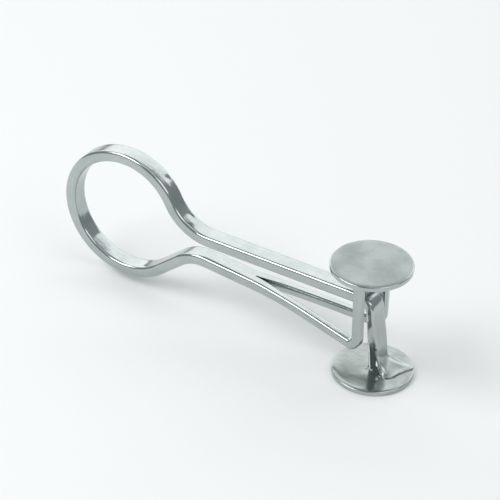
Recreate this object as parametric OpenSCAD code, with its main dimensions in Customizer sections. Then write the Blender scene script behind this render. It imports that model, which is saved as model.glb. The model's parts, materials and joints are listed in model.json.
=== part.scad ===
// Tubing pinch clamp: one spring bar bent into a loop, with two crossed arms and a thumb disc on
// the end of each. The plain arm turns down to the lower disc. The other arm is slit into a fork,
// whose two tines rise past the plain arm to the upper disc. Pressing the discs opens the jaws.

/* [Spring bar] */
// Width of the bar, across the jaws
bar_w = 3.4; // [2.6:0.1:4.2]
// Thickness of the bar
bar_t = 2.0; // [1.6:0.1:2.4]
// Radius along the bar's four edges
bar_edge_r = 0.4; // [0.1:0.05:0.5]

/* [Loop] */
// Radius of the loop, to the middle of the bar
loop_r = 11.4; // [10.6:0.1:14]
// Radius of the loop's upper shoulder, to the middle of the bar
shoulder_r = 10.45; // [9:0.05:13]
// Turn of the upper shoulder, and of the upper neck that undoes it
shoulder_turn = 63; // [58:1:66]
// Radius of the upper neck, to the middle of the bar
upper_neck_r = 8.95; // [7.5:0.05:10]
// Turn of the loop's lower half, from its back round to the lower neck
lower_turn = 130; // [125:1:132]
// Straight length of the lower neck
lower_neck_run = 5.4; // [4.6:0.1:5.8]
// Radius of the lower neck, to the middle of the bar
lower_neck_r = 7; // [5:0.1:8]

/* [Arms] */
// Straight length of the plain arm
plain_arm_run = 30; // [24:0.5:40]
// Radius of the bend from the plain arm into its stem, to the middle of the bar
front_bend_r = 2.2; // [1.6:0.1:3]
// Slope of the forked arm away from the plain arm
jaw_slope = 5; // [3:0.5:7]
// Length of the forked arm before its slit
slit_start = 9.5; // [4:0.5:14]

/* [Fork] */
// Width of a tine, across the jaws
tine_w = 1.65; // [1.2:0.05:1.8]
// Thickness of a tine
tine_t = 1.7; // [1.3:0.05:1.9]
// Radius along a tine's edges
tine_edge_r = 0.5; // [0.2:0.05:0.55]
// Distance from the bar's middle to the near tine's upright
near_spread = 4.4; // [3.9:0.1:5]
// Distance from the bar's middle to the far tine's upright
far_spread = 3.9; // [3.9:0.1:5]
// Radius of the bend into the upright, to the middle of the tine
tine_bend_r = 1.7; // [1.2:0.1:2.4]

/* [Stem] */
// Width of the flattened stem
stem_w = 4.0; // [3:0.1:4.6]
// Thickness of the flattened stem
stem_t = 1.5; // [1:0.1:2]
// Forward lean of the stem
stem_lean = 5; // [0:0.5:7]
// Thickness of the foot that lies on the lower disc
foot_t = 0.5; // [0.3:0.05:0.8]
// Radius of the hollow between the stem and its foot
hollow_r = 2.4; // [1.5:0.1:3]

/* [Discs] */
// Diameter of both thumb discs
disc_d = 14; // [13:0.5:18]
// Thickness of a disc
disc_t = 0.9; // [0.7:0.1:1.4]
// Radius round a disc's rim
rim_r = 0.3; // [0.1:0.05:0.3]
// Clear height from the plain arm's top face to the upper disc
upper_rise = 5.1; // [4:0.1:7]
// Clear height from the plain arm's underside to the lower disc
lower_drop = 12.8; // [11:0.1:15]
// Distance of the uprights behind the top of the stem
upright_back = 0.6; // [0:0.1:1]
// Distance of the upper disc's middle behind the uprights
upper_disc_back = 0.5; // [0:0.1:1]
// Distance of the lower disc's middle behind the stem's foot
lower_disc_back = 0.8; // [0:0.1:1.2]

/* [Knuckle] */
// Running clearance round the knuckle at the back of the loop
knuckle_gap = 0.05; // [0.03:0.01:0.1]

/* [Hidden] */
$fn = 64;
CORNER_STEPS = 3;
TINE_ROOT = 1;
STEM_SPARE = 1;
BAND_H = 0.004;
BAND_L = 0.05;
CUT = 40;

// Positions are worked out round the loop's middle, with the arms running towards +X.
upper_neck_x = (shoulder_r + upper_neck_r) * sin(shoulder_turn);
plain_arm_z = loop_r - shoulder_r + (shoulder_r + upper_neck_r) * cos(shoulder_turn) - upper_neck_r;

// The forked arm starts where its neck has turned down to the jaw's slope
neck_heading = lower_turn - 90;
forked_arm_x = -loop_r * cos(lower_turn) + lower_neck_run * cos(neck_heading)
             + lower_neck_r * (sin(neck_heading) + sin(jaw_slope));
forked_arm_z = -loop_r * sin(lower_turn) + lower_neck_run * sin(neck_heading)
             + lower_neck_r * (cos(jaw_slope) - cos(neck_heading));
slit_x = forked_arm_x + slit_start * cos(jaw_slope);
slit_z = forked_arm_z - slit_start * sin(jaw_slope);

// The faces of the discs that the tines and the stem are soldered to
upper_seat_z = plain_arm_z + bar_t / 2 + upper_rise;
lower_seat_z = plain_arm_z - bar_t / 2 - lower_drop;

// The stem starts where the plain arm has turned down to the stem's lean
front_turn = 90 - stem_lean;
stem_x = upper_neck_x + plain_arm_run + front_bend_r * sin(front_turn);
stem_z = plain_arm_z - front_bend_r * (1 - cos(front_turn));
foot_x = stem_x + (stem_z - lower_seat_z) * tan(stem_lean);
upright_x = stem_x - upright_back;
upper_disc_x = upright_x - upper_disc_back;
lower_disc_x = foot_x - lower_disc_back;

// The origin is on the bench, under the middle of the whole clamp
front_x = max(upper_disc_x, lower_disc_x) + disc_d / 2;
back_x = -loop_r - bar_t / 2;
origin_x = (front_x + back_x) / 2;
origin_z = lower_seat_z - disc_t;

// Corners of a w by t rectangle with its edges rounded to radius r, widths along Y
function round_rect(w, t, r) = [
    for (corner = [0:3], step = [0:CORNER_STEPS])
        let (angle = 90 * (corner + step / CORNER_STEPS),
             side = [corner == 0 || corner == 3 ? 1 : -1, corner < 2 ? 1 : -1])
        [side[0] * (w / 2 - r) + r * cos(angle), side[1] * (t / 2 - r) + r * sin(angle)]
];

BAR = [bar_w, bar_t, bar_edge_r];
TINE = [tine_w, tine_t, tine_edge_r];
STEM = [stem_w, stem_t, bar_edge_r];

module section(size) {
    polygon(round_rect(size[0], size[1], size[2]));
}

// A band, a few thousandths proud, round the place where a length meets the one before it
module band(size) {
    around = [size[0] + 2 * BAND_H, size[1] + 2 * BAND_H, size[2] + BAND_H];
    translate([-BAND_L, 0, 0]) rotate([90, 0, 90]) linear_extrude(2 * BAND_L) section(around);
}

// A straight length along +X, with its children at its far end
module run(size, length) {
    band(size);
    rotate([90, 0, 90]) linear_extrude(length) section(size);
    translate([length, 0, 0]) children();
}

// A bend from +X upwards through an angle, with its children at its far end
module bend_up(size, radius, turn) {
    band(size);
    translate([0, 0, radius]) rotate([90, 0, 0]) rotate([0, 0, -90])
        rotate_extrude(angle = turn) translate([radius, 0]) rotate(90) section(size);
    translate([radius * sin(turn), 0, radius * (1 - cos(turn))]) rotate([0, -turn, 0]) children();
}

// The same bend downwards
module bend_down(size, radius, turn) {
    mirror([0, 0, 1]) bend_up(size, radius, turn);
    translate([radius * sin(turn), 0, -radius * (1 - cos(turn))]) rotate([0, turn, 0]) children();
}

// Moves children from the loop's middle to the part's own origin
module placed() {
    translate([-origin_x, 0, -origin_z]) children();
}

// A cylinder across the bar, on the knuckle's axis at the back of the loop
module knuckle(radius, width) {
    translate([-loop_r, width / 2, 0]) rotate([90, 0, 0]) cylinder(r = radius, h = width);
}

// Everything below a height, as a cutter for what stands on a disc
module below(z) {
    translate([stem_x - CUT / 2, -CUT / 2, z - CUT]) cube(CUT);
}

// Half of the loop over the top, the plain arm, the front bend and the leaning stem
module plain_bar() {
    translate([-loop_r, 0, 0]) rotate([0, -90, 0])
        bend_down(BAR, loop_r, 90)
        bend_down(BAR, shoulder_r, shoulder_turn)
        bend_up(BAR, upper_neck_r, shoulder_turn)
        run(BAR, plain_arm_run)
        bend_down(BAR, front_bend_r, front_turn)
        run(STEM, (stem_z - lower_seat_z) / cos(stem_lean) + STEM_SPARE);
}

// The stem's end, hammered out into a fan that lies on the lower disc and points to its rim
module foot() {
    back = stem_t / 2;
    side = stem_w / 2;
    outline = [
        [-back, -side], [1.3, -side - 0.75], [2.7, -side - 0.1], [3.5, -0.6], [4.1, 0.9],
        [5.1, 3.15], [2.6, 3.2], [0.5, side + 1.2], [-back, side]
    ];
    translate([foot_x, 0, lower_seat_z]) {
        linear_extrude(foot_t) polygon(outline);
        difference() {
            translate([0, -side, 0]) cube([back + hollow_r, stem_w, hollow_r + foot_t]);
            translate([back + hollow_r, side + 1, hollow_r + foot_t])
                rotate([90, 0, 0]) cylinder(r = hollow_r, h = stem_w + 2);
        }
    }
}

module plain_arm() {
    color([0.72, 0.75, 0.75]) placed() {
        difference() {
            plain_bar();
            below(lower_seat_z);
        }
        knuckle(bar_t / 2, bar_w - 2 * bar_edge_r);
        foot();
    }
}

// One tine: it leaves the slit, splays out to its spread and turns up to the upper disc.
// side is -1 for the near tine and 1 for the far one.
module tine(side, spread) {
    across = spread - bar_w / 4;
    along = upright_x - slit_x;
    splay = atan(across / along);
    reach = norm([along, across]);
    dip = atan(tan(jaw_slope) * cos(splay));
    tangent = tine_bend_r * tan((90 + dip) / 2);
    corner_z = slit_z - reach * tan(dip);
    translate([slit_x, side * bar_w / 4, slit_z]) rotate([0, 0, side * splay]) rotate([0, dip, 0])
        translate([-TINE_ROOT, 0, 0])
        run(TINE, reach / cos(dip) - tangent + TINE_ROOT)
        bend_up(TINE, tine_bend_r, 90 + dip)
        run(TINE, upper_seat_z - corner_z - tangent);
}

// Half of the loop under the bottom, the lower neck and the whole part of the forked arm
module forked_bar() {
    translate([-loop_r, 0, 0]) rotate([0, 90, 0])
        bend_up(BAR, loop_r, lower_turn)
        run(BAR, lower_neck_run)
        bend_down(BAR, lower_neck_r, neck_heading + jaw_slope)
        run(BAR, slit_start);
}

module forked_arm() {
    color([0.72, 0.75, 0.75]) placed() {
        difference() {
            forked_bar();
            knuckle(bar_t / 2 + knuckle_gap, bar_w + 2);
        }
        tine(-1, near_spread);
        tine(1, far_spread);
    }
}

// A flat disc with its rim rounded, standing on z
module thumb_disc(x, z) {
    r = disc_d / 2 - rim_r;
    rim = [
        for (edge = [-1, 1], step = [0:2 * CORNER_STEPS])
            let (angle = (edge - 1) * 45 + 45 * step / CORNER_STEPS)
            [r + rim_r * cos(angle), (edge < 0 ? rim_r : disc_t - rim_r) + rim_r * sin(angle)]
    ];
    translate([x, 0, z]) rotate_extrude() polygon(concat([[0, 0]], rim, [[0, disc_t]]));
}

module upper_disc() {
    color([0.74, 0.78, 0.78]) placed() thumb_disc(upper_disc_x, upper_seat_z);
}

module lower_disc() {
    color([0.70, 0.72, 0.71]) placed() thumb_disc(lower_disc_x, lower_seat_z - disc_t);
}

plain_arm();
forked_arm();
upper_disc();
lower_disc();
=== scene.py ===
"""Tubing pinch clamp: the looks of a nickel-plated spring clamp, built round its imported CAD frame.

One flat spring bar runs from a forked arm round a loop to a plain arm, with a thumb disc soldered
on the end of each. Lengths are in millimetres until a mesh is made, which is in metres.
"""

import json
import logging
from dataclasses import dataclass, replace
from enum import Enum
from typing import Any

import bmesh
import bpy
import numpy as np
from bpy.types import Material, Node, NodeSocket, NodeTree, Object
from mathutils import Matrix, Vector

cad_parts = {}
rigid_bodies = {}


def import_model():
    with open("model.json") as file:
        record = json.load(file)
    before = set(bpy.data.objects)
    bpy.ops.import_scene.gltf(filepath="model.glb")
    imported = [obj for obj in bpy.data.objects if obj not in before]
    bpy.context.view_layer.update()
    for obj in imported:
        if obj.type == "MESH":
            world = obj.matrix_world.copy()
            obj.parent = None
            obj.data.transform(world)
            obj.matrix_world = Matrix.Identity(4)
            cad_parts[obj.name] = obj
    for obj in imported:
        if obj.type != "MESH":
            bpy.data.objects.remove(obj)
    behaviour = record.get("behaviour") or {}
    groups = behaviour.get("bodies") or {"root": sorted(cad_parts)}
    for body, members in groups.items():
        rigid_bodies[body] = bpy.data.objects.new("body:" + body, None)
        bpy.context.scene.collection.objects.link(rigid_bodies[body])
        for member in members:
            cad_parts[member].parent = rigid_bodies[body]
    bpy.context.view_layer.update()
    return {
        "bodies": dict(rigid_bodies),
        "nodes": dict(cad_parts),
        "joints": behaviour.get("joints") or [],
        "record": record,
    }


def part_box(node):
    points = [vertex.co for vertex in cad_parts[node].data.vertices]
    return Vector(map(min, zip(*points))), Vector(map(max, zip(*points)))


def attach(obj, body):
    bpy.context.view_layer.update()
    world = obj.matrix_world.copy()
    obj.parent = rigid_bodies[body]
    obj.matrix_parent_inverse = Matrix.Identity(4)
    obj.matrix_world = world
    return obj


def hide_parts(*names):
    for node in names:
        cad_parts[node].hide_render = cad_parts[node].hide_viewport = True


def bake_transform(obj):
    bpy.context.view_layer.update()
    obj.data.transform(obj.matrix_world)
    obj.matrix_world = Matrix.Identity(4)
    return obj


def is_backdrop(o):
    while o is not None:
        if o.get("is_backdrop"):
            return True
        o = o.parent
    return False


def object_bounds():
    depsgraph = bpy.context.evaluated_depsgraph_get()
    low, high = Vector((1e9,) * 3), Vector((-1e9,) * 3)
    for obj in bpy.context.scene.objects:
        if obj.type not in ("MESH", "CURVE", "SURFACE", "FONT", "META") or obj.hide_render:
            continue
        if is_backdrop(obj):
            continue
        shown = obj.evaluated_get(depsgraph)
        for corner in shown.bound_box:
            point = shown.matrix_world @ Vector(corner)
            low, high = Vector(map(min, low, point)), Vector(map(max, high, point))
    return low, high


MM = 0.001
# The attribute that holds each point's place in the bar's own space
SPACE = "bar_space"
Array = np.ndarray

log = logging.getLogger("pinch_clamp")


class Slot(Enum):
    """Material slots of the record."""

    BAR = "nickel_bar"
    DISC = "nickel_disc"


class Body(Enum):
    """CAD bodies on either side of the loop's hinge."""

    PLAIN = "plain_half"
    FORKED = "forked_half"


def smoothstep(x: Array, low: float, high: float) -> Array:
    """Eases from 0 to 1 between two values of x: with t the share of the way, 3t² − 2t³."""
    t = np.clip((x - low) / (high - low), 0, 1)
    return t * t * (3 - 2 * t)


def between(start: Any, end: Any, share: Array) -> Array:
    """Numbers or vectors a share of the way from one to the other: start + (end − start)·share."""
    return start + (end - start) * share


def unit(vectors: Array) -> Array:
    """Vectors of the same directions, each divided by its length."""
    return vectors / np.linalg.norm(vectors, axis=-1, keepdims=True)


def travelled(points: Array) -> Array:
    """The distance from the first point of a line to each, or from the first row of a grid."""
    steps = np.linalg.norm(np.diff(points, axis=0), axis=-1)
    return np.concatenate([0 * steps[:1], np.cumsum(steps, axis=0)])


def along_line(line: Array, run: Array, wanted: Array) -> Array:
    """Points of a line at the wanted distances, straight between those of its own at `run`."""
    return np.stack([np.interp(wanted, run, values) for values in line.T], axis=1)


def column(values: Array | float, rows: int) -> Array:
    """Values down a column, one per row, from an array or a single number."""
    return np.broadcast_to(np.asarray(values, float).reshape(-1, 1), (rows, 1))


# ---- Meshes ----


def add_object(name: str, data: Any) -> Object:
    """Adds an object to the scene.

    Args:
        name: its name.
        data: its mesh, light or camera.

    Returns:
        The object, at the origin.
    """
    item = bpy.data.objects.new(name, data)
    bpy.context.scene.collection.objects.link(item)
    return item


class MeshMaker:
    """Gathers grids of points and makes one closed mesh of them."""

    def __init__(self) -> None:
        """Starts with no points and no faces."""
        self.points: list[Array] = []
        self.space: list[Array] = []
        self.quads: list[Array] = []
        self.caps: list[list[int]] = []
        self.count = 0

    def add_tube(self, points: Array, space: Array, start_cap: bool = False,
                 end_cap: bool = False) -> None:
        """Adds a tube: a grid of points that closes on itself round each row.

        Args:
            points: rows × columns × 3 places in millimetres.
            space: the same grid in the bar's own space: along, across and over it.
            start_cap: whether the first row is closed with a face.
            end_cap: whether the last row is closed with a face.
        """
        rows, columns = points.shape[:2]
        index = self.count + np.arange(rows * columns).reshape(rows, columns)
        turned = np.roll(index, -1, axis=1)
        quads = np.stack([index[:-1], turned[:-1], turned[1:], index[1:]], axis=-1)
        self.points.append(points.reshape(-1, 3))
        self.space.append(space.reshape(-1, 3))
        self.quads.append(quads.reshape(-1, 4))
        if start_cap:
            self.caps.append(index[0].tolist())
        if end_cap:
            self.caps.append(index[-1].tolist())
        self.count += rows * columns

    def build(self, name: str, sharp_deg: float = 50.0, weld_mm: float = 0.0005) -> Object:
        """Makes the object: doubles are merged and every face turned outwards.

        Args:
            name: the piece's name.
            sharp_deg: edges that fold by more than this stay crisp.
            weld_mm: points nearer than this become one.

        Returns:
            The new object, at the origin, with its place in its mesh.
        """
        mesh = bpy.data.meshes.new(name)
        faces = np.concatenate(self.quads).tolist() + self.caps
        mesh.from_pydata((np.concatenate(self.points) * MM).tolist(), [], faces)
        layer = mesh.attributes.new(SPACE, "FLOAT_VECTOR", "POINT")
        layer.data.foreach_set("vector", np.concatenate(self.space).astype(np.float32).ravel())
        work = bmesh.new()
        work.from_mesh(mesh)
        bmesh.ops.remove_doubles(work, verts=work.verts, dist=weld_mm * MM)
        bmesh.ops.dissolve_degenerate(work, edges=work.edges, dist=weld_mm * MM / 5)
        bmesh.ops.recalc_face_normals(work, faces=work.faces)
        work.to_mesh(mesh)
        work.free()
        mesh.update()
        mesh.shade_smooth()
        mesh.set_sharp_from_angle(angle=np.radians(sharp_deg))
        return add_object(name, mesh)


# ---- Paths and sections ----


@dataclass(frozen=True)
class Leg:
    """A stretch of bar: its length along the middle, and how far it turns, left being positive."""

    length: float
    turn_deg: float = 0.0


@dataclass
class Path:
    """Stations along a bar: the distance travelled, the place and three square directions."""

    along: Array
    middle: Array
    across: Array
    over: Array


def trace(start: tuple[float, float], heading_deg: float, legs: list[Leg], along: Array,
          ease: float = 0.45) -> Path:
    """Follows a chain of legs in the X-Z plane.

    The heading is the running sum of curvature, and the place the running sum of the heading's
    direction. Curvature is averaged over a short window, since a real bar has no sudden bend.

    Args:
        start: X and Z of the first point.
        heading_deg: direction of travel there, from +X towards +Z.
        legs: the stretches in order.
        along: distances at which stations are wanted.
        ease: half of the averaging window.

    Returns:
        The stations, with `over` pointing left of the heading.
    """
    fine = 0.01
    ends = np.cumsum([leg.length for leg in legs])
    steps = np.arange(0, ends[-1], fine) + fine / 2
    bend = np.array([np.radians(leg.turn_deg) / leg.length for leg in legs])
    curvature = bend[np.minimum(np.searchsorted(ends, steps), len(legs) - 1)]
    window = 2 * int(ease / fine) + 1
    padded = np.pad(curvature, window // 2, mode="edge")
    curvature = np.convolve(padded, np.ones(window) / window, mode="valid")
    heading = np.radians(heading_deg) + np.concatenate([[0], np.cumsum(curvature * fine)])
    halfway = (heading[:-1] + heading[1:]) / 2
    x = start[0] + np.concatenate([[0], np.cumsum(np.cos(halfway) * fine)])
    z = start[1] + np.concatenate([[0], np.cumsum(np.sin(halfway) * fine)])
    run = np.arange(len(heading)) * fine
    x, z, heading = (np.interp(along, run, values) for values in (x, z, heading))
    nought = np.zeros_like(x)
    return Path(
        along=along,
        middle=np.stack([x, nought, z], axis=1),
        across=np.stack([nought, nought + 1, nought], axis=1),
        over=np.stack([-np.sin(heading), nought, np.cos(heading)], axis=1),
    )


def spaced(length: float, count: int, thin: tuple[float, float] = (0.01, 0.05)) -> Array:
    """Evenly spaced distances from 0 to length, with two thin steps at the start for a seam."""
    return np.concatenate([[0], thin, np.linspace(0, length, count)[1:]])


@dataclass(frozen=True)
class Outline:
    """How finely a section's outline is divided: steps along flats, round corners and up sides."""

    flat: int = 8
    corner: int = 7
    side: int = 5

    def half(self, inner: Array, outer: Array, depth: Array, edge: Array) -> tuple[Array, Array]:
        """One side of a rounded rectangle, from the top of its inner end round to the bottom.

        Flats run straight, and a corner of radius r passes through r·sin a and r·cos a.

        Args:
            inner: place across at which both flats begin.
            outer: place across of the side.
            depth: thickness.
            edge: corner radius.

        Returns:
            Places across and over, rows × points.
        """
        rows = len(inner)
        share = np.linspace(0, 1, self.flat + 1)[:-1]
        angle = np.linspace(0, np.pi / 2, self.corner + 1)
        rise = np.linspace(1, 0, self.side // 2 + 2)[1:]
        top_u = inner + (outer - edge - inner) * share
        top_v = np.broadcast_to(depth / 2, (rows, self.flat))
        turn_u = outer - edge + edge * np.sin(angle)
        turn_v = depth / 2 - edge + edge * np.cos(angle)
        side_u = np.broadcast_to(outer, (rows, len(rise)))
        side_v = (depth / 2 - edge) * rise
        u = np.concatenate([top_u, turn_u, side_u], axis=1)
        v = np.concatenate([top_v, turn_v, side_v], axis=1)
        return (np.concatenate([u, u[:, -2::-1]], axis=1),
                np.concatenate([v, -v[:, -2::-1]], axis=1))

    def bar(self, width: Array, depth: Array, edge: Array) -> tuple[Array, Array]:
        """A whole bar's outline: one side, then its mirror image back up to the top."""
        u, v = self.half(0 * width, width / 2, depth, edge)
        return (np.concatenate([u, -u[:, -2:0:-1]], axis=1),
                np.concatenate([v, v[:, -2:0:-1]], axis=1))

    def tine(self, width: Array, depth: Array, edge: Array,
             inner_edge: Array) -> tuple[Array, Array]:
        """A tine's outline: its outer side as on the bar, then its inner side up to the top.

        Args:
            width: width of the tine.
            depth: thickness.
            edge: corner radius of the outer side.
            inner_edge: corner radius of the inner side.

        Returns:
            Places across and over, rows × points.
        """
        u, v = self.half(inner_edge - width / 2, width / 2, depth, edge)
        angle = np.linspace(0, np.pi / 2, self.corner + 1)[1:]
        rise = np.linspace(-1, 1, self.side + 1)[1:-1]
        low_u = inner_edge * (1 - np.sin(angle)) - width / 2
        low_v = inner_edge * (1 - np.cos(angle)) - depth / 2
        wall_u = np.broadcast_to(-width / 2, (len(u), len(rise)))
        wall_v = (depth / 2 - inner_edge) * rise
        u = np.concatenate([u, low_u, wall_u, low_u[:, ::-1]], axis=1)
        v = np.concatenate([v, low_v, wall_v, -low_v[:, ::-1]], axis=1)
        return u, v


@dataclass(frozen=True)
class Dent:
    """A mark of the forming hammer or pliers, in the bar's own space: a bump where depth < 0."""

    along: float
    across: float
    length: float
    width: float
    depth: float
    over: float = 1.0


def pressed(u: Array, v: Array, along: Array, dents: tuple[Dent, ...]) -> Array:
    """Sinks dents into the bar's faces: each is a bell of its depth, exp(−a² − b²).

    It takes in only the face that it is on: `over` is 1 for the outer one and −1 for the inner.

    Args:
        u: places across, rows × points.
        v: places over.
        along: distances along, one per row.
        dents: the marks.

    Returns:
        The new places over.
    """
    face_height = 0.7
    for dent in dents:
        a = (along[:, None] - dent.along) / dent.length
        b = (u - dent.across) / dent.width
        facing = np.clip(v * dent.over / face_height, 0, 1)
        v = v - dent.over * dent.depth * facing * np.exp(-a * a - b * b)
    return v


def carried(path: Path, u: Array, v: Array) -> Array:
    """Carries an outline along a path: middle + u·across + v·over, rows × points × 3."""
    return (path.middle[:, None] + u[:, :, None] * path.across[:, None]
            + v[:, :, None] * path.over[:, None])


def bar_space(along: Array, u: Array, v: Array) -> Array:
    """The bar's own coordinates of an outline: along, across and over, rows × points × 3."""
    return np.stack([np.broadcast_to(along[:, None], u.shape), u, v], axis=-1)


# ---- Where the pieces go ----


@dataclass(frozen=True)
class Places:
    """Positions read from the CAD frame, in millimetres."""

    ring_x: float
    ring_z: float
    upper_x: float
    upper_seat: float
    upper_top: float
    lower_x: float
    lower_seat: float
    disc_r: float
    middle: Vector

    @classmethod
    def read(cls, frame: dict[str, Any], loop_r: float) -> "Places":
        """Reads the hinge at the back of the loop, the discs' boxes and the whole clamp's middle.

        Args:
            loop_r: the loop's radius to the middle of the bar.

        Returns:
            The places.
        """
        hinge = [value / MM for value in frame["joints"][0]["pos_m"]]
        upper_low, upper_high = (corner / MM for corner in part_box("upper_disc"))
        lower_low, lower_high = (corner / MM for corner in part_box("lower_disc"))
        low, high = (Vector(corner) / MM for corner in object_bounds())
        return cls(
            ring_x=hinge[0] + loop_r, ring_z=hinge[2],
            upper_x=(upper_low.x + upper_high.x) / 2, upper_seat=upper_low.z,
            upper_top=upper_high.z, lower_x=(lower_low.x + lower_high.x) / 2,
            lower_seat=lower_high.z, disc_r=(upper_high.x - upper_low.x) / 2,
            middle=(low + high) / 2,
        )


def dress(piece: Object, material: Material) -> None:
    """Gives a piece its material.

    Args:
        piece: the piece.
        material: its finish.
    """
    piece.data.materials.clear()
    piece.data.materials.append(material)


def face_vectors(piece: Object, name: str) -> Array:
    """Reads one vector of each face of a piece.

    Args:
        piece: the piece.
        name: "center" or "normal".

    Returns:
        Faces × 3.
    """
    values = np.empty(len(piece.data.polygons) * 3)
    piece.data.polygons.foreach_get(name, values)
    return values.reshape(-1, 3)


def refinish(piece: Object, material: Material, faces: Array) -> None:
    """Gives some of a piece's faces a second finish.

    Args:
        piece: the piece, which has its first finish.
        material: the second finish.
        faces: whether each face takes it.
    """
    piece.data.materials.append(material)
    piece.data.polygons.foreach_set("material_index", faces.astype(np.int32))


# ---- The spring bar ----


@dataclass(frozen=True)
class Bar:
    """The flat bar that both arms are bent from, and the loop that joins them."""

    width: float = 3.4
    depth: float = 2.0
    edge: float = 0.5
    crown: float = 0.035
    loop_r: float = 11.4
    step: float = 0.2

    def stations(self, length: float) -> Array:
        """Distances along a stretch of bar at which its outline is drawn."""
        return spaced(length, int(np.ceil(length / self.step)) + 1)

    def crowned(self, u: Array, v: Array, width: Array, amount: Array) -> Array:
        """Bows both faces out a little, as rolling leaves them: by 1 − (2u/width)² of the crown."""
        return v + np.sign(v) * amount * np.clip(1 - (2 * u / width) ** 2, 0, 1)


@dataclass(frozen=True)
class Foot:
    """The stem's hammered foot: a plate folded out of its front and far side.

    Heights are over the disc. The outline runs from the stem's front near edge round to its rear
    far one, with X from the middle of the stem where it stands and Y from the middle of the disc.
    """

    fold_height: float = 4.2
    near_rise: float = 3.3
    far_rise: float = 1.7
    rise_share: float = 0.6
    fold_out: float = 0.24
    fold_low: float = 0.42
    fold_soft: float = 0.12
    rows: int = 28
    edge: float = 0.26
    edge_r: float = 0.15
    edge_rows: int = 5
    sunk: float = 0.03
    outline: tuple[tuple[float, float], ...] = (
        (0.95, -0.8), (1.55, -1.45), (2.7, -1.85), (3.6, -1.15), (4.05, 0.4), (4.65, 1.7),
        (5.35, 2.9), (4.5, 3.2), (3.3, 3.35), (2.2, 3.6), (1.1, 3.75), (0.1, 3.5), (-0.6, 3.1),
    )

    def target(self, share: Array) -> Array:
        """Points of the foot's outline.

        They lie on a Catmull-Rom curve, which passes through each corner with the direction of
        the chord between its neighbours.

        Args:
            share: shares of the way round, 0 to 1.

        Returns:
            Places in X and Y, n × 2.
        """
        corners = np.array(self.outline)
        padded = np.vstack([2 * corners[0] - corners[1], corners, 2 * corners[-1] - corners[-2]])
        run = travelled(corners)
        place = np.interp(share, run / run[-1], np.arange(len(corners)))
        cell = np.minimum(place.astype(int), len(corners) - 2)
        t = (place - cell)[:, None]
        a, b, c, d = (padded[cell + offset] for offset in range(4))
        return 0.5 * (2 * b + (c - a) * t + (2 * a - 5 * b + 4 * c - d) * t ** 2
                      + (3 * b - a - 3 * c + d) * t ** 3)

    def columns(self, last: Array) -> tuple[Array, int]:
        """Numbers the stem's columns from its front near edge round by its front.

        Args:
            last: the stem's last outline, points × 3.

        Returns:
            Each column's number, and that of the rear far edge.
        """
        x, y = (last[:, axis] - last[:, axis].mean() for axis in (0, 1))
        reach_x, reach_y = np.ptp(x) / 4, np.ptp(y) / 2
        first = int(np.argmin(np.hypot(y + reach_y, x - reach_x)))
        final = int(np.argmin(np.hypot(y - reach_y, x + reach_x)))
        return (np.arange(len(last)) - first) % len(last), (final - first) % len(last)

    def rise(self, steps: Array, span: int) -> Array:
        """How high each column bends out: from the near rise to the far one, and back behind.

        Args:
            steps: the columns' numbers.
            span: the number of the last one that bends out.

        Returns:
            Heights, one per column.
        """
        out = smoothstep(steps / span, 0, self.rise_share)
        back = smoothstep((steps - span) / (len(steps) - span), 0, 1)
        return between(self.near_rise, self.far_rise, out * (1 - back))

    def flare(self, last: Array, seat: float, slope: Array) -> Array:
        """Carries the stem's last outline down to the disc.

        The columns of the front and the far side follow parabolas,
        (1 − t)²·A + 2t(1 − t)·B + t²·C, which start at the fold A, head for a low point B close to
        the stem and flatten towards the foot's edge C. They then round the edge and drop to the
        disc. The rest go straight down.

        Args:
            last: the outline at the fold, points × 3.
            seat: the height of the disc's top.
            slope: how far the stem moves in X and Y for each millimetre down.

        Returns:
            Rows of the outline below the fold, rows × points × 3.
        """
        fold_z = last[:, 2].mean()
        steps, span = self.columns(last)
        base = last[:, :2] + [(fold_z - seat) * slope[0], 0]
        target = self.target(np.clip(steps / span, 0, 1)) + [base[:, 0].mean(), 0]
        moves = steps <= span
        reach = np.where(moves[:, None], target - base, 0)
        outward = np.where(moves[:, None], unit(target - target[moves].mean(axis=0)), 0)

        t = np.linspace(0, 1, self.rows + 1)[:, None]
        turn, arrive = 2 * t * (1 - t), t ** 2
        edge_z = seat + self.edge
        plate_z = ((1 - t) ** 2 * (seat + self.rise(steps, span)) + turn * (seat + self.fold_low)
                   + arrive * edge_z)
        angle = np.linspace(0, np.pi / 2, self.edge_rows + 1)[1:]
        below_z = [*(edge_z - self.edge_r * (1 - np.cos(angle))), seat - self.sunk]
        z = np.vstack([plate_z[:1] + self.fold_soft, plate_z,
                       np.repeat(np.array(below_z)[:, None], len(last), axis=1)])
        sweep = np.concatenate([[0], (turn * self.fold_out + arrive)[:, 0],
                                np.ones(self.edge_rows + 1)])
        push = self.edge_r * np.concatenate([np.zeros(self.rows + 2), np.sin(angle), [1]])
        plan = (last[:, :2] + (fold_z - z)[..., None] * slope
                + sweep[:, None, None] * reach + push[:, None, None] * outward)
        return np.concatenate([plan, z[..., None]], axis=-1)


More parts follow.
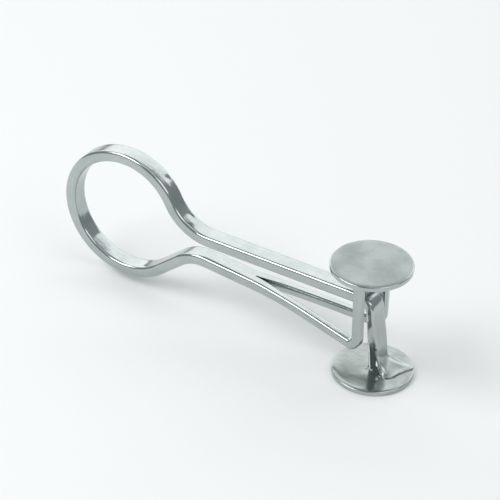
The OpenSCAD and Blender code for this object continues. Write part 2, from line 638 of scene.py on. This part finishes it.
@dataclass(frozen=True)
class PlainArm:
    """The loop's back and top, the plain arm, its bend, the flattened stem and the foot.

    Distances along it start at the bottom of the loop. The stem was bent by hand: it drifts in X
    and Y, its near side is skewed and it swells towards the foot.
    """

    bar: Bar
    places: Places
    foot: Foot = Foot()
    shoulder_r: float = 10.45
    shoulder_turn: float = 63.0
    neck_r: float = 8.95
    run: float = 30.0
    bend_r: float = 2.2
    lean: float = 5.0
    flatten: float = 1.5
    stem_width: float = 4.05
    stem_depth: float = 1.5
    stem_swell: float = 0.3
    stem_drift: tuple[float, float] = (-0.5, 1.05)
    drift_over: float = 14.0
    level_over: float = 4.0
    near_skew: float = 0.6
    foot_x: float = 20.0
    worked_height: float = 3.9
    near_facing: float = -0.93
    blend_from: float = 1.0
    blend_turn: float = 30.0
    dents: tuple[Dent, ...] = (
        Dent(along=34.5, across=0.9, length=0.35, width=0.6, depth=0.08),
        Dent(along=35.3, across=-0.3, length=0.3, width=0.5, depth=0.04),
        Dent(along=43.6, across=0.6, length=0.5, width=0.6, depth=0.09),
        Dent(along=45.0, across=-0.2, length=0.45, width=0.5, depth=-0.06),
        Dent(along=46.0, across=0.9, length=0.4, width=0.5, depth=0.09),
        Dent(along=51.4, across=0.7, length=0.7, width=0.5, depth=0.09),
        Dent(along=52.6, across=-0.4, length=0.5, width=0.6, depth=-0.05),
        Dent(along=55.0, across=1.0, length=0.8, width=0.6, depth=0.04),
        Dent(along=17.0, across=0.4, length=1.4, width=0.9, depth=0.04, over=-1.0),
        Dent(along=10.5, across=-0.3, length=1.2, width=0.7, depth=0.03, over=-1.0),
        Dent(along=24.5, across=0.2, length=1.6, width=0.8, depth=-0.02, over=-1.0),
    )
    stem_dent: Dent = Dent(along=1.6, across=0.3, length=0.9, width=1.0, depth=0.09)

    def legs(self) -> list[Leg]:
        """The bar's stretches, from the bottom of the loop round its back to the stem's fold.

        Returns:
            The legs in order.
        """
        turn = np.radians(self.shoulder_turn)
        front = 90 - self.lean
        loop_top = self.places.ring_z + self.bar.loop_r
        arm_z = loop_top - (self.shoulder_r + self.neck_r) * (1 - np.cos(turn))
        stem_top = arm_z - self.bend_r * (1 - np.cos(np.radians(front)))
        drop = stem_top - self.places.lower_seat - self.foot.fold_height
        return [
            Leg(np.pi * self.bar.loop_r, -180),
            Leg(self.shoulder_r * turn, -self.shoulder_turn),
            Leg(self.neck_r * turn, self.shoulder_turn),
            Leg(self.run),
            Leg(self.bend_r * np.radians(front), -front),
            Leg(drop / np.cos(np.radians(self.lean))),
        ]

    def bend_stem(self, path: Path, stem_start: float, swell: Array) -> None:
        """Turns the stem's outlines level by its fold, thickens its front and lets it drift.

        Args:
            path: the bar's stations, which it changes.
            stem_start: the distance at which the stem starts.
            swell: how much thicker the bar is at each station.
        """
        level = smoothstep(path.along, stem_start, stem_start + self.level_over)[:, None]
        path.over = unit(between(path.over, np.array([1.0, 0, 0]), level))
        drift = np.clip(path.along - stem_start, 0, None)[:, None] / self.drift_over
        path.middle = path.middle + path.over * swell[:, None] / 2 + drift * [*self.stem_drift, 0]

    def outlines(self, along: Array, stem_start: float, flat: Array,
                 down: Array) -> tuple[Array, Array]:
        """The bar's outline at each station, with its crown, its marks and the stem's skew.

        Args:
            along: distances along the bar.
            stem_start: that of the stem's start.
            flat: how far the bar is flattened into the stem, 0 to 1.
            down: the eased share of the way down the stem, 0 to 1.

        Returns:
            Places across and over, rows × points.
        """
        rows = len(along)
        width = column(between(self.bar.width, self.stem_width, flat), rows)
        depth = between(self.bar.depth, self.stem_depth, flat) + self.stem_swell * down
        depth = column(depth, rows)
        u, v = Outline().bar(width, depth, column(self.bar.edge, rows))
        v = self.bar.crowned(u, v, width, column(self.bar.crown, rows))
        v = pressed(u, v, along, self.dents)
        v = pressed(u, v, along - stem_start, (self.stem_dent,))
        near = np.clip(-2 * u / width, 0, 1) * np.clip(v / depth + 0.5, 0, 1)
        return u + self.near_skew * down[:, None] * near, v

    def build(self, material: Material, worked: Material) -> Object:
        """Makes the piece and gives its foot a finish of its own.

        Args:
            material: the bar's finish.
            worked: the foot's, which all but its near side takes.

        Returns:
            The piece.
        """
        legs = self.legs()
        length = sum(leg.length for leg in legs)
        along = self.bar.stations(length)
        path = trace((self.places.ring_x, self.places.ring_z - self.bar.loop_r), 180, legs, along)
        stem_start = length - legs[-1].length
        down = smoothstep(along, stem_start, length)
        self.bend_stem(path, stem_start, self.stem_swell * down)
        flat = smoothstep(along, stem_start - legs[-2].length - self.flatten,
                          stem_start + self.flatten)
        u, v = self.outlines(along, stem_start, flat, down)
        points = carried(path, u, v)
        slope = np.array(self.stem_drift) / self.drift_over + [np.tan(np.radians(self.lean)), 0]
        foot = self.foot.flare(points[-1], self.places.lower_seat, slope)
        space = bar_space(along, u, v)
        below = np.broadcast_to(space[-1], foot.shape).copy()
        below[..., 0] += travelled(np.vstack([points[-1:], foot]))[1:]
        maker = MeshMaker()
        maker.add_tube(np.vstack([points, foot]), np.vstack([space, below]), True, True)
        piece = maker.build("plain_arm_bar")
        dress(piece, material)
        refinish(piece, worked, self.foot_faces(piece))
        self.join_bodies(piece)
        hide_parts("plain_arm")
        return piece

    def foot_faces(self, piece: Object) -> Array:
        """Finds the foot: the low faces at the front, save those that face the near side.

        Args:
            piece: the piece.

        Returns:
            Whether each face is the foot's.
        """
        middles = face_vectors(piece, "center") / MM
        low = middles[:, 2] < self.places.lower_seat + self.worked_height
        near = face_vectors(piece, "normal")[:, 1] <= self.near_facing
        return low & (middles[:, 0] > self.foot_x) & ~near

    def join_bodies(self, piece: Object) -> None:
        """Bakes the piece's place into its mesh.

        Args:
            piece: the piece.
        """
        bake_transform(piece)


@dataclass(frozen=True)
class Tine:
    """One tine: its side, how far it splays, how its leg curves and how its upright leans."""

    side: int
    spread: float
    leave: float
    arrive: float
    lean_back: float


@dataclass(frozen=True)
class ForkedArm:
    """The loop's bottom, the lower neck, the forked arm, its slit and the two tines.

    Each tine starts as half of the bar at the slit and is formed to its own section along its leg.
    A pair such as `formed` gives the distances between which a change is eased; those of `squared`
    are counted back from the upright's top.
    """

    bar: Bar
    places: Places
    lower_turn: float = 130.0
    neck_run: float = 5.4
    neck_r: float = 7.0
    jaw_slope: float = 5.0
    slit_start: float = 9.5
    slit_half: float = 0.09
    saw_r: float = 0.35
    crown_end: float = 3.0
    tine_width: float = 1.62
    tine_depth: float = 1.68
    tine_edge: float = 0.48
    tine_bend_r: float = 1.7
    tine_step: float = 0.16
    formed: tuple[float, float] = (0.3, 7.0)
    edge_formed: tuple[float, float] = (0.2, 6.0)
    straight_over: float = 1.5
    squared: tuple[float, float] = (14.0, 10.0)
    upright_back: float = 0.5
    sunk: float = 0.03
    tines: tuple[Tine, Tine] = (
        Tine(side=-1, spread=4.4, leave=0.02, arrive=0.178, lean_back=1.5),
        Tine(side=1, spread=3.9, leave=0.20, arrive=0.115, lean_back=-0.5),
    )

    def legs(self) -> list[Leg]:
        """The bar's stretches, from the bottom of the loop forwards to the slit.

        Returns:
            The legs in order.
        """
        rise = self.lower_turn - 90
        return [
            Leg(self.bar.loop_r * np.radians(rise), rise),
            Leg(self.neck_run),
            Leg(self.neck_r * np.radians(rise + self.jaw_slope), -rise - self.jaw_slope),
            Leg(self.slit_start),
        ]

    def tine_leg(self, tine: Tine, start: Array) -> Array:
        """A tine's leg, from the slit to its upright.

        In plan it is a cubic from the slit's heading to the upright's: its place goes out by
        3t² − 2t³, and `leave` and `arrive` are its slopes at the ends. It falls by the jaw's slope.

        Args:
            tine: which tine.
            start: X and Z of the slit's start, in the middle of the bar.

        Returns:
            Points × 3.
        """
        run = self.places.upper_x + self.upright_back - start[0]
        t = np.linspace(0, 1, 400)
        out = between(self.bar.width / 4, tine.spread, 3 * t ** 2 - 2 * t ** 3) + run * (
            (t ** 3 - 2 * t ** 2 + t) * tine.leave + (t ** 3 - t ** 2) * tine.arrive)
        fall = run * t * np.tan(np.radians(self.jaw_slope))
        return np.stack([start[0] + run * t, tine.side * out, start[1] - fall], axis=1)

    def bent_up(self, leg: Array, upright: Array) -> Array:
        """A leg's line with a bend and the upright added.

        The leg is cut back by r·tan(a/2), where an arc of radius r turns through the angle a.

        Args:
            leg: the leg's points.
            upright: the direction of the upright.

        Returns:
            Points × 3, up to the disc.
        """
        heading, corner = unit(leg[-1] - leg[-2]), leg[-1]
        turn = np.arccos(np.clip(heading @ upright, -1, 1))
        cut = self.tine_bend_r * np.tan(turn / 2)
        inwards = unit(upright - heading * (upright @ heading))
        angle = np.linspace(0, turn, 40)[:, None]
        bend = corner - heading * cut + self.tine_bend_r * (
            np.sin(angle) * heading + (1 - np.cos(angle)) * inwards)
        climb = (self.places.upper_seat + self.sunk - bend[-1, 2]) / upright[2]
        post = bend[-1] + upright * np.linspace(0, climb, 120)[1:, None]
        return np.vstack([leg[np.linalg.norm(corner - leg, axis=1) > cut], bend, post])

    def tine_path(self, tine: Tine, start: Array) -> Path:
        """A tine's stations along its splayed leg, its bend and its upright.

        Its outline starts straight across the bar, then lies level and square to the line, and
        near the upright it turns square to the upright.

        Args:
            tine: which tine.
            start: X and Z of the slit's start, in the middle of the bar.

        Returns:
            Its stations, with distances from the slit.
        """
        leg = self.tine_leg(tine, start)
        plan = unit(unit(leg[-1] - leg[-2]) * [1, 1, 0])
        back = np.radians(tine.lean_back)
        line = self.bent_up(leg, np.array([0, 0, 1.0]) * np.cos(back) - plan * np.sin(back))
        run = travelled(line)
        along = spaced(run[-1], int(run[-1] / self.tine_step), (0.04, 0.09))
        near = 0.02
        tangent = unit(along_line(line, run, along + near) - along_line(line, run, along - near))
        across = np.stack([-tangent[:, 1], tangent[:, 0], 0 * along], axis=1)
        level = np.linalg.norm(across, axis=1)[:, None]
        square = np.array([-plan[1], plan[0], 0])
        across = np.where(level > 0.5, across / np.maximum(level, 1e-9), square)
        squared = smoothstep(along - run[-1], -self.squared[0], -self.squared[1])[:, None]
        across = between(across, square, squared)
        free = smoothstep(along, 0, self.straight_over)[:, None]
        across = unit(between(np.array([0, 1.0, 0]), across, free))
        return Path(along=along, middle=along_line(line, run, along), across=across,
                    over=unit(np.cross(tangent, across)))

    def add_tine(self, maker: MeshMaker, tine: Tine, start: Array, before: Path) -> None:
        """Adds a tine that grows out of its half of the bar's last outline.

        The saw's cut opens in a quarter circle, and the tine's inner edges are rounded with it.

        Args:
            maker: the mesh being made.
            tine: which tine.
            start: X and Z of the slit's start.
            before: the bar's path, whose last station the tine starts on.
        """
        path = self.tine_path(tine, start)
        path.over[0] = before.over[-1]
        path.across[0] = before.across[-1]
        rows = len(path.along)
        formed = smoothstep(path.along, *self.formed)
        sawn = np.sqrt(1 - (1 - np.clip(path.along / self.saw_r, 0, 1)) ** 2) * self.slit_half
        cut = sawn * (1 - formed)
        half = self.bar.width / 2
        width = column(between(half, self.tine_width, formed) - cut, rows)
        depth = column(between(self.bar.depth, self.tine_depth, formed), rows)
        edge = column(between(self.bar.edge, self.tine_edge, formed), rows)
        inner = column(self.tine_edge * smoothstep(path.along, *self.edge_formed), rows)
        u, v = Outline().tine(width, depth, edge, inner)
        u = tine.side * (u + column(cut / 2, rows))
        space = bar_space(path.along + before.along[-1], u + tine.side * half / 2, v)
        maker.add_tube(carried(path, u, v), space, end_cap=True)

    def build(self, material: Material) -> Object:
        """Makes the piece: one bar as far as the slit, and a tine from each half of its end.

        Args:
            material: the bar's finish.

        Returns:
            The piece.
        """
        legs = self.legs()
        length = sum(leg.length for leg in legs)
        along = self.bar.stations(length)
        path = trace((self.places.ring_x, self.places.ring_z - self.bar.loop_r), 0, legs, along)
        rows = len(along)
        width, depth = column(self.bar.width, rows), column(self.bar.depth, rows)
        u, v = Outline().bar(width, depth, column(self.bar.edge, rows))
        crown = self.bar.crown * (1 - smoothstep(along, length - self.crown_end, length))
        v = self.bar.crowned(u, v, width, column(crown, rows))
        maker = MeshMaker()
        maker.add_tube(carried(path, u, v), bar_space(-along, u, v), start_cap=True)
        slit = path.middle[-1, [0, 2]]
        for tine in self.tines:
            self.add_tine(maker, tine, slit, path)
        piece = maker.build("forked_arm_bar")
        dress(piece, material)
        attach(piece, Body.FORKED.value)
        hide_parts("forked_arm")
        return piece


# ---- The discs and the solder ----


@dataclass(frozen=True)
class ThumbDisc:
    """A blanked disc: flat, its upper edge rolled over by the die, its rim glossier and painted
    lighter as a highlight.
    """

    name: str
    node: str
    body: Body
    middle_x: float
    bottom: float
    top: float
    radius: float
    roll: float = 0.9
    roll_drop: float = 0.07
    rim_r: float = 0.2
    heel_r: float = 0.12
    wave: float = 0.012
    wave_fade: float = 1.0
    columns: int = 192

    def profile(self) -> Array:
        """Radius and height from the middle of the underside, round the rim, to the top's middle.

        The roll falls as the square of the way out, and each edge is a quarter circle.

        Returns:
            n × 2 places.
        """
        heel_x, rim_x, roll_x = (self.radius - r for r in (self.heel_r, self.rim_r, self.roll))
        edge_z = self.top - self.roll_drop
        under = np.linspace(0, heel_x, 22)[:-1]
        quarter = np.linspace(0, np.pi / 2, 7)
        way = np.linspace(1, 0, 13)[1:]
        face = np.linspace(roll_x, 0, 24)[1:]
        return np.vstack([np.stack(part, axis=1) for part in (
            (under, self.bottom + 0 * under),
            (heel_x + self.heel_r * np.sin(quarter),
             self.bottom + self.heel_r * (1 - np.cos(quarter))),
            (rim_x + self.rim_r * np.cos(quarter),
             edge_z - self.rim_r + self.rim_r * np.sin(quarter)),
            (roll_x + (self.roll - self.rim_r) * way, self.top - self.roll_drop * way ** 2),
            (face, self.top + 0 * face),
        )])

    def build(self, material: Material, rim: Material) -> Object:
        """Makes the disc by turning its profile, with a very slight wave in its upper face.

        The wave is a product of two slanting sines, less one so that it only sinks, and it fades
        out towards the rim.

        Args:
            material: the faces' finish.
            rim: the rim's finish, glossier than the faces and lighter in colour, which paints a
                highlight along the edge.

        Returns:
            The piece.
        """
        profile = self.profile()
        out, height = profile[:, :1], profile[:, 1:]
        angle = np.linspace(0, 2 * np.pi, self.columns + 1)[:-1]
        x = self.middle_x + out * np.cos(angle)
        y = out * np.sin(angle)
        fade_from = self.radius - self.roll - self.wave_fade
        inside = 1 - smoothstep(out, fade_from, self.radius - self.rim_r)
        wave = np.sin(0.9 * x + 0.5 * y + self.top) * np.sin(0.7 * y + 1.3) - 1
        z = height + self.wave * inside * wave * (height > (self.top + self.bottom) / 2)
        points = np.stack([x, y, z], axis=-1)
        maker = MeshMaker()
        maker.add_tube(points, points)
        piece = maker.build(self.name, sharp_deg=60)
        dress(piece, material)
        middles = face_vectors(piece, "center") / MM
        face_out = np.hypot(middles[:, 0] - self.middle_x, middles[:, 1])
        # The rim's faces take the lighter nickel, a painted highlight round the disc's edge.
        refinish(piece, rim, face_out > self.radius - self.rim_r)
        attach(piece, self.body.value)
        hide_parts(self.node)
        return piece


@dataclass(frozen=True)
class Bead:
    """A low dome of solder: its place from the disc's middle, its half sizes and its height."""

    x: float
    y: float
    across: float
    along: float
    height: float


@dataclass(frozen=True)
class Solder:
    """Beads of solder run round a joint on a disc's face."""

    name: str
    body: Body
    middle_x: float
    seat: float
    beads: tuple[Bead, ...]
    downwards: bool = False

    def build(self, material: Material) -> Object:
        """Makes the beads as one piece.

        Each is a flattened ball, cos a of its radius across and sin a of its height up, with a
        slow wobble round it.

        Args:
            material: the solder's finish.

        Returns:
            The piece.
        """
        maker = MeshMaker()
        tilt = np.linspace(-np.pi / 2, np.pi / 2, 17)[:, None]
        turn = np.linspace(0, 2 * np.pi, 33)[:-1][None]
        way = -1 if self.downwards else 1
        for bead in self.beads:
            x = self.middle_x + bead.x
            wobble = 1 + 0.10 * np.sin(2 * turn + x) + 0.06 * np.sin(3 * turn + bead.y)
            out = np.cos(tilt) * wobble
            points = np.stack([
                x + bead.across * out * np.cos(turn), bead.y + bead.along * out * np.sin(turn),
                self.seat + way * bead.height * np.sin(tilt) + 0 * turn], axis=-1)
            maker.add_tube(points, points)
        piece = maker.build(self.name, weld_mm=0.0002)
        dress(piece, material)
        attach(piece, self.body.value)
        return piece


# ---- Finishes ----


def linear(code: str) -> tuple[float, float, float, float]:
    """An sRGB hex colour as linear RGBA: c/12.92 below 0.04045, else ((c + 0.055)/1.055)^2.4."""
    parts = [int(code[i:i + 2], 16) / 255 for i in (1, 3, 5)]
    return (*[c / 12.92 if c <= 0.04045 else ((c + 0.055) / 1.055) ** 2.4 for c in parts], 1.0)


def add_node(tree: NodeTree, kind: str, sockets: dict[Any, Any] | None = None,
             stops: tuple[tuple[float, Any], ...] = (), **settings: Any) -> Node:
    """Adds a node with its settings and links.

    Args:
        tree: the tree that it goes into.
        kind: the node's type.
        sockets: its inputs by name or number, each a value or another node's output.
        stops: a colour ramp's stops in order, each a place and a hex colour or a grey.
        settings: its properties.

    Returns:
        The node.
    """
    node = tree.nodes.new(kind)
    for name, value in settings.items():
        setattr(node, name, value)
    for key, value in (sockets or {}).items():
        if isinstance(value, NodeSocket):
            tree.links.new(value, node.inputs[key])
        else:
            node.inputs[key].default_value = value
    for number, (place, value) in enumerate(stops):
        elements = node.color_ramp.elements
        element = elements[number] if number < len(elements) else elements.new(place)
        element.position = place
        element.color = linear(value) if isinstance(value, str) else (value, value, value, 1)
    return node


def cleared(owner: Any) -> NodeTree:
    """The emptied node tree of a material or a world."""
    owner.use_nodes = True
    owner.node_tree.nodes.clear()
    return owner.node_tree


class Grain(Enum):
    """Which way a finish's fine lines run."""

    ALONG_BAR = "along the bar, as drawing and polishing leave them"
    BRUSHED = "straight across the disc, as a belt leaves them"
    NONE = "no lines"


@dataclass(frozen=True)
class Nickel:
    """Nickel plate on steel, described by how it was finished.

    The colour and the roughness each run between two values over the smudges. Lines and ripples
    have a spacing and a depth in millimetres.
    """

    name: str
    bright: str
    dull: str
    smooth: float
    rough: float
    smudge_mm: float
    grain: Grain
    line_mm: float
    line_depth: float
    ripple_mm: float
    ripple_depth: float
    line_turn: float = 0.0
    line_stretch: float = 0.03
    line_contrast: float = 0.0
    line_rough: float = 0.06

    def pattern(self, tree: NodeTree) -> tuple[Any, Any]:
        """Coordinates in millimetres, and those that the lines follow, one line apart.

        Args:
            tree: the material's tree.

        Returns:
            Two vector sockets.
        """
        metres = add_node(tree, "ShaderNodeTexCoord").outputs["Object"]
        place = add_node(tree, "ShaderNodeMapping", {
            "Vector": metres, "Scale": (1 / MM,) * 3}).outputs[0]
        followed = place
        if self.grain is Grain.ALONG_BAR:
            followed = add_node(tree, "ShaderNodeAttribute", attribute_name=SPACE).outputs["Vector"]
        lines = add_node(tree, "ShaderNodeMapping", {
            "Vector": followed, "Rotation": (0, 0, np.radians(self.line_turn)),
            "Scale": (self.line_stretch / self.line_mm, 1 / self.line_mm, 1 / self.line_mm)})
        return place, lines.outputs[0]

    def material(self) -> Material:
        """Builds the material.

        Smudges change the colour and the roughness together over a few millimetres. A slow ripple
        bends the reflections, as hand forming does, and fine lines lie over it.

        Returns:
            The material.
        """
        material = bpy.data.materials.new(self.name)
        tree = cleared(material)
        place, lines = self.pattern(tree)
        smudge, streak, ripple = (add_node(tree, "ShaderNodeTexNoise", {
            "Vector": vector, "Scale": scale, "Detail": detail, "Roughness": rough}).outputs[0]
            for vector, scale, detail, rough in (
                (place, 1 / self.smudge_mm, 4.0, 0.6), (lines, 1.0, 3.0, 0.65),
                (place, 1 / self.ripple_mm, 2.0, 0.45)))
        colour = add_node(tree, "ShaderNodeValToRGB", {0: smudge}, stops=(
            (0.35, self.dull), (0.62, self.bright))).outputs[0]
        if self.line_contrast:
            shade = add_node(tree, "ShaderNodeValToRGB", {0: streak}, stops=(
                (0.3, 1 - self.line_contrast), (0.7, 1.0))).outputs[0]
            colour = add_node(tree, "ShaderNodeMix", {0: 1.0, 6: colour, 7: shade},
                              data_type="RGBA", blend_type="MULTIPLY").outputs[2]
        base = add_node(tree, "ShaderNodeMapRange", {
            0: smudge, 1: 0.35, 2: 0.65, 3: self.rough, 4: self.smooth})
        fine = add_node(tree, "ShaderNodeMapRange", {
            0: streak, 1: 0.3, 2: 0.7, 3: -self.line_rough, 4: self.line_rough})
        rough = add_node(tree, "ShaderNodeMath", {0: base.outputs[0], 1: fine.outputs[0]},
                         operation="ADD", use_clamp=True)
        normal = add_node(tree, "ShaderNodeBump", {
            "Height": ripple, "Strength": 1.0, "Distance": self.ripple_depth * MM}).outputs[0]
        if self.grain is not Grain.NONE:
            normal = add_node(tree, "ShaderNodeBump", {
                "Height": streak, "Strength": 1.0, "Distance": self.line_depth * MM,
                "Normal": normal}).outputs[0]
        shader = add_node(tree, "ShaderNodeBsdfPrincipled", {
            "Base Color": colour, "Metallic": 1.0, "Roughness": rough.outputs[0], "Normal": normal})
        add_node(tree, "ShaderNodeOutputMaterial", {"Surface": shader.outputs[0]})
        return material


# Bright nickel over a polished bar: mirror-like, with soft ripples and faint lines along it
BAR_NICKEL = Nickel(
    name="bright_nickel_bar", bright="#BCC3C2", dull="#B3BAB9", smooth=0.13, rough=0.2,
    smudge_mm=3.5, grain=Grain.ALONG_BAR, line_mm=0.2, line_depth=0.0025, line_stretch=0.02,
    line_contrast=0.1, ripple_mm=2.4, ripple_depth=0.05,
)
# The same nickel on the foot, which the hammer and the soldering iron left satin
FOOT_NICKEL = replace(BAR_NICKEL, name="hammered_nickel_foot", smooth=0.32, rough=0.4)
# Satin nickel on the upper disc: thumb-smudged, so its sheen wanders over a few millimetres
UPPER_NICKEL = Nickel(
    name="satin_nickel_thumbed", bright="#9EA5A3", dull="#8A9290", smooth=0.3, rough=0.4,
    smudge_mm=7.0, grain=Grain.BRUSHED, line_mm=0.12, line_depth=0.0012, line_turn=20.0,
    line_contrast=0.08, ripple_mm=5.0, ripple_depth=0.05,
)
# Brushed nickel on the lower disc: fine parallel lines from a belt, easy to see at a low angle
LOWER_NICKEL = Nickel(
    name="brushed_nickel_disc", bright="#A9AFAC", dull="#8F9693", smooth=0.13, rough=0.2,
    smudge_mm=5.0, grain=Grain.BRUSHED, line_mm=0.14, line_depth=0.004, line_turn=-12.0,
    line_contrast=0.16, ripple_mm=5.0, ripple_depth=0.05,
)
# Solder: pale tin that cooled matt, in small lumps, with no lines
TIN_SOLDER = Nickel(
    name="tin_solder", bright="#DDE1E1", dull="#C8CECE", smooth=0.42, rough=0.55, smudge_mm=0.8,
    grain=Grain.NONE, line_mm=0.2, line_depth=0.0, ripple_mm=0.4, ripple_depth=0.05,
)


# ---- Studio ----


PAPER = "#EDEEEE"


def direction(azimuth: float, elevation: float) -> Vector:
    """A unit vector at an azimuth from +X towards +Y and an elevation above the floor."""
    a, e = np.radians(azimuth), np.radians(elevation)
    return Vector((np.cos(a) * np.cos(e), np.sin(a) * np.cos(e), np.sin(e)))


@dataclass(frozen=True)
class Softbox:
    """A soft white light, by its direction from the clamp, its distance, size and strength."""

    name: str
    azimuth: float
    elevation: float
    distance: float
    width: float
    height: float
    watts: float


@dataclass(frozen=True)
class Studio:
    """A pale floor, a dim room, soft light and the camera."""

    azimuth: float = 31.156
    elevation: float = 34.690
    roll: float = 1.531
    distance: float = 407.32
    lens: float = 172.8
    sensor: float = 36.0
    aim: tuple[float, float, float] = (2.76, 0.0, 2.12)
    floor_size: float = 4000.0
    room: tuple[tuple[float, str], ...] = (
        (0.50, "#A6ACAC"), (0.56, "#939B9C"), (0.68, "#A3A9A9"), (0.85, "#939999"),
        (1.0, "#7C8282"),
    )
    boxes: tuple[Softbox, ...] = (
        Softbox("back", azimuth=112, elevation=30, distance=500, width=1060, height=420,
                watts=1.8),
        Softbox("front_left", azimuth=-134, elevation=50, distance=450, width=360, height=200,
                watts=1.15),
        Softbox("right", azimuth=-8, elevation=43, distance=500, width=420, height=260,
                watts=0.55),
        Softbox("top", azimuth=20, elevation=76, distance=450, width=300, height=260, watts=0.22),
    )

    def add_camera(self, middle: Vector) -> None:
        """Adds the camera on its line of sight and makes it the scene's own.

        Args:
            middle: the middle of the whole clamp.
        """
        aim = (middle + Vector(self.aim)) * MM
        back = direction(self.azimuth - 90, self.elevation)
        right = Vector((0, 0, 1)).cross(back).normalized()
        up = back.cross(right)
        turn = np.radians(self.roll)
        x = np.cos(turn) * right + np.sin(turn) * up
        y = np.cos(turn) * up - np.sin(turn) * right
        camera = bpy.data.cameras.new("camera")
        camera.lens, camera.sensor_width = self.lens, self.sensor
        camera.clip_start, camera.clip_end = 0.01, 20
        item = add_object("camera", camera)
        item.matrix_world = Matrix.Translation(aim + back * self.distance * MM) @ Matrix(
            (x, y, back)).transposed().to_4x4()
        bpy.context.scene.camera = item

    def add_floor(self) -> None:
        """Adds the floor, a matt sheet at the height of the lower disc's underside."""
        half = self.floor_size / 2 * MM
        mesh = bpy.data.meshes.new("floor")
        mesh.from_pydata([(-half, -half, 0), (half, -half, 0), (half, half, 0), (-half, half, 0)],
                         [], [(0, 1, 2, 3)])
        floor = add_object("floor", mesh)
        material = bpy.data.materials.new("matt_paper")
        tree = cleared(material)
        shader = add_node(tree, "ShaderNodeBsdfDiffuse", {"Color": linear(PAPER)})
        add_node(tree, "ShaderNodeOutputMaterial", {"Surface": shader.outputs[0]})
        mesh.materials.append(material)
        floor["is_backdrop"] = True

    def add_world(self) -> None:
        """Adds the room that the metal mirrors, dimmest overhead, behind a backdrop of paper.

        The room's stops run from straight down, 0, by the horizon, 0.5, to straight up, 1.
        """
        world = bpy.data.worlds.new("room")
        tree = cleared(world)
        way = add_node(tree, "ShaderNodeTexCoord").outputs["Generated"]
        parts = add_node(tree, "ShaderNodeSeparateXYZ", {0: way})
        height = add_node(tree, "ShaderNodeMapRange", {0: parts.outputs["Z"], 1: -1.0, 2: 1.0})
        glow = add_node(tree, "ShaderNodeValToRGB", {0: height.outputs[0]},
                        stops=self.room).outputs[0]
        seen = add_node(tree, "ShaderNodeLightPath").outputs["Is Camera Ray"]
        mixed = add_node(tree, "ShaderNodeMix", {0: seen, 6: glow, 7: linear(PAPER)},
                         data_type="RGBA")
        light = add_node(tree, "ShaderNodeBackground", {0: mixed.outputs[2], 1: 1.0})
        add_node(tree, "ShaderNodeOutputWorld", {0: light.outputs[0]})
        bpy.context.scene.world = world

    def add_lights(self, middle: Vector) -> None:
        """Adds the softboxes, each facing the clamp.

        Args:
            middle: the middle of the whole clamp.
        """
        for box in self.boxes:
            light = bpy.data.lights.new(box.name, "AREA")
            light.shape = "RECTANGLE"
            light.size, light.size_y = box.width * MM, box.height * MM
            light.energy = box.watts
            item = add_object(box.name, light)
            way = direction(box.azimuth, box.elevation)
            item.location = middle * MM + way * box.distance * MM
            item.rotation_euler = way.to_track_quat("Z", "Y").to_euler()

    def build(self, middle: Vector) -> None:
        """Adds everything round the clamp.

        Args:
            middle: the middle of the whole clamp.
        """
        bpy.context.scene.view_settings.view_transform = "Standard"
        self.add_camera(middle)
        self.add_floor()
        self.add_world()
        self.add_lights(middle)


# ---- The whole clamp ----


@dataclass(frozen=True)
class Clamp:
    """The pinch clamp: both arms of its bar, the two discs and the solder that holds them."""

    bar: Bar
    places: Places
    stem_beads: tuple[Bead, ...] = (
        Bead(x=-0.65, y=-1.0, across=0.2, along=0.16, height=0.14),
        Bead(x=0.3, y=-0.98, across=0.26, along=0.18, height=0.16),
        Bead(x=-0.65, y=1.2, across=0.3, along=1.9, height=0.3),
    )
    tine_beads: tuple[Bead, ...] = (
        Bead(x=0.5, y=-4.4, across=1.15, along=1.15, height=0.34),
        Bead(x=0.5, y=3.9, across=1.15, along=1.15, height=0.34),
    )

    def build(self) -> list[Object]:
        """Builds every piece in order.

        Returns:
            The pieces.
        """
        places = self.places
        bar_metal = BAR_NICKEL.material()
        foot_metal = FOOT_NICKEL.material()
        tin = TIN_SOLDER.material()
        upper = ThumbDisc("upper_thumb_disc", "upper_disc", Body.FORKED, places.upper_x,
                          places.upper_seat, places.upper_top, places.disc_r)
        lower = ThumbDisc("lower_thumb_disc", "lower_disc", Body.PLAIN, places.lower_x,
                          0.0, places.lower_seat, places.disc_r)
        stem_solder = Solder("stem_solder", Body.PLAIN, places.lower_x, places.lower_seat,
                             self.stem_beads)
        tine_solder = Solder("tine_solder", Body.FORKED, places.upper_x, places.upper_seat,
                             self.tine_beads, downwards=True)
        return [
            PlainArm(self.bar, places).build(bar_metal, foot_metal),
            ForkedArm(self.bar, places).build(bar_metal),
            # Each disc's rim takes the bar's lighter nickel as a painted highlight round its edge.
            upper.build(UPPER_NICKEL.material(), bar_metal),
            lower.build(LOWER_NICKEL.material(), bar_metal),
            stem_solder.build(tin),
            tine_solder.build(tin),
        ]


def main() -> None:
    """Loads the frame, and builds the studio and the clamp."""
    logging.basicConfig(level=logging.INFO, format="%(name)s: %(message)s")
    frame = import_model()
    bar = Bar()
    places = Places.read(frame, bar.loop_r)
    Studio().build(places.middle)
    for piece in Clamp(bar, places).build():
        log.info("%s: %d faces", piece.name, len(piece.data.polygons))
    bpy.context.view_layer.update()


if __name__ == "__main__":
    main()
